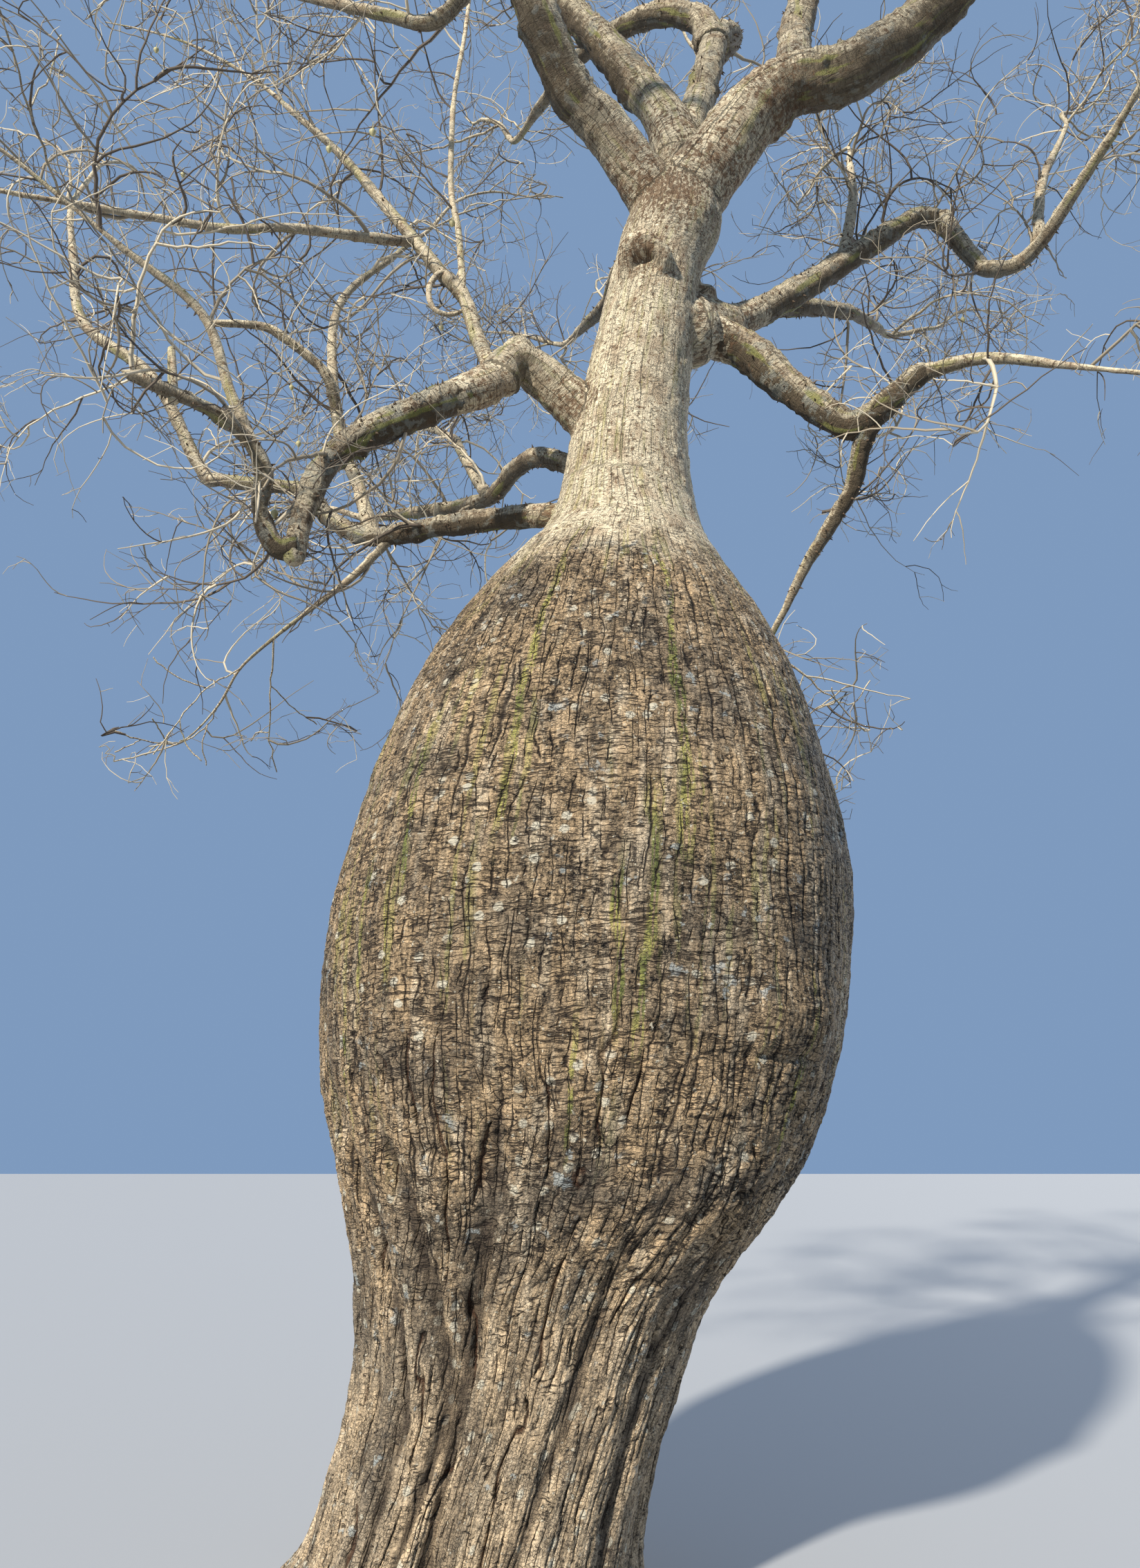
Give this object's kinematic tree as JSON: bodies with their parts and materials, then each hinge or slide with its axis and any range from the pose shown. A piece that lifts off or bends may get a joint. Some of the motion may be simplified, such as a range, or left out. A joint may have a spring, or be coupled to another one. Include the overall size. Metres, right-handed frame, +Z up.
{
  "type": "silk floss tree",
  "caption": "Bare bottle-trunked silk floss tree that leans to one side, with contorted tapering boughs and open masses of twigs, cut flat at ground level.",
  "frame": {"origin": "middle of the trunk's flat cut at ground level", "axes": "+Z up; +X to the right in the picture, the way the trunk leans; +Y away from the camera"},
  "size_m": [8.6855, 8.3534, 10.9418],
  "materials": {
    "trunk_bark": "dry corky bark, fissured into small plates, matt",
    "bough_bark": "mottled flaky bark, matt",
    "twigs": "pale grey-brown twig bark, matt"
  },
  "bodies": {
    "root": {"trunk": "trunk_bark", "bough_left": "bough_bark", "bough_left_arch": "bough_bark", "bough_left_hook": "bough_bark", "bough_left_front": "bough_bark", "bough_left_riser": "bough_bark", "bough_left_level": "bough_bark", "bough_low_left": "bough_bark", "bough_low_left_outer": "bough_bark", "bough_low_left_riser": "bough_bark", "bough_low_left_drooping": "bough_bark", "bough_back_left": "bough_bark", "bough_back_left_riser": "bough_bark", "bough_right_shoulder": "bough_bark", "bough_right": "bough_bark", "bough_right_outer": "bough_bark", "bough_right_riser": "bough_bark", "bough_right_spur": "bough_bark", "bough_low_right": "bough_bark", "bough_low_right_outer": "bough_bark", "bough_low_right_hanging": "bough_bark", "bough_back_right": "bough_bark", "bough_upper_right": "bough_bark", "bough_upper_right_riser": "bough_bark", "bough_front_right": "bough_bark", "bough_front_left": "bough_bark", "bough_front_left_loop": "bough_bark", "bough_front": "bough_bark", "bough_upper_left": "bough_bark", "bough_middle": "bough_bark", "bough_middle_left": "bough_bark", "bough_back": "bough_bark", "twigs_left_front": "twigs", "twigs_left_riser": "twigs", "twigs_left_level": "twigs", "twigs_low_left_outer": "twigs", "twigs_low_left_riser": "twigs", "twigs_low_left_drooping": "twigs", "twigs_back_left": "twigs", "twigs_back_left_riser": "twigs", "twigs_right_outer": "twigs", "twigs_right_riser": "twigs", "twigs_right_spur": "twigs", "twigs_low_right_outer": "twigs", "twigs_low_right_hanging": "twigs", "twigs_back_right": "twigs", "twigs_upper_right": "twigs", "twigs_upper_right_riser": "twigs", "twigs_front_right": "twigs", "twigs_front_left": "twigs", "twigs_front_left_loop": "twigs", "twigs_front": "twigs", "twigs_upper_left": "twigs", "twigs_middle": "twigs", "twigs_middle_left": "twigs", "twigs_back": "twigs"}
  },
  "joints": []
}
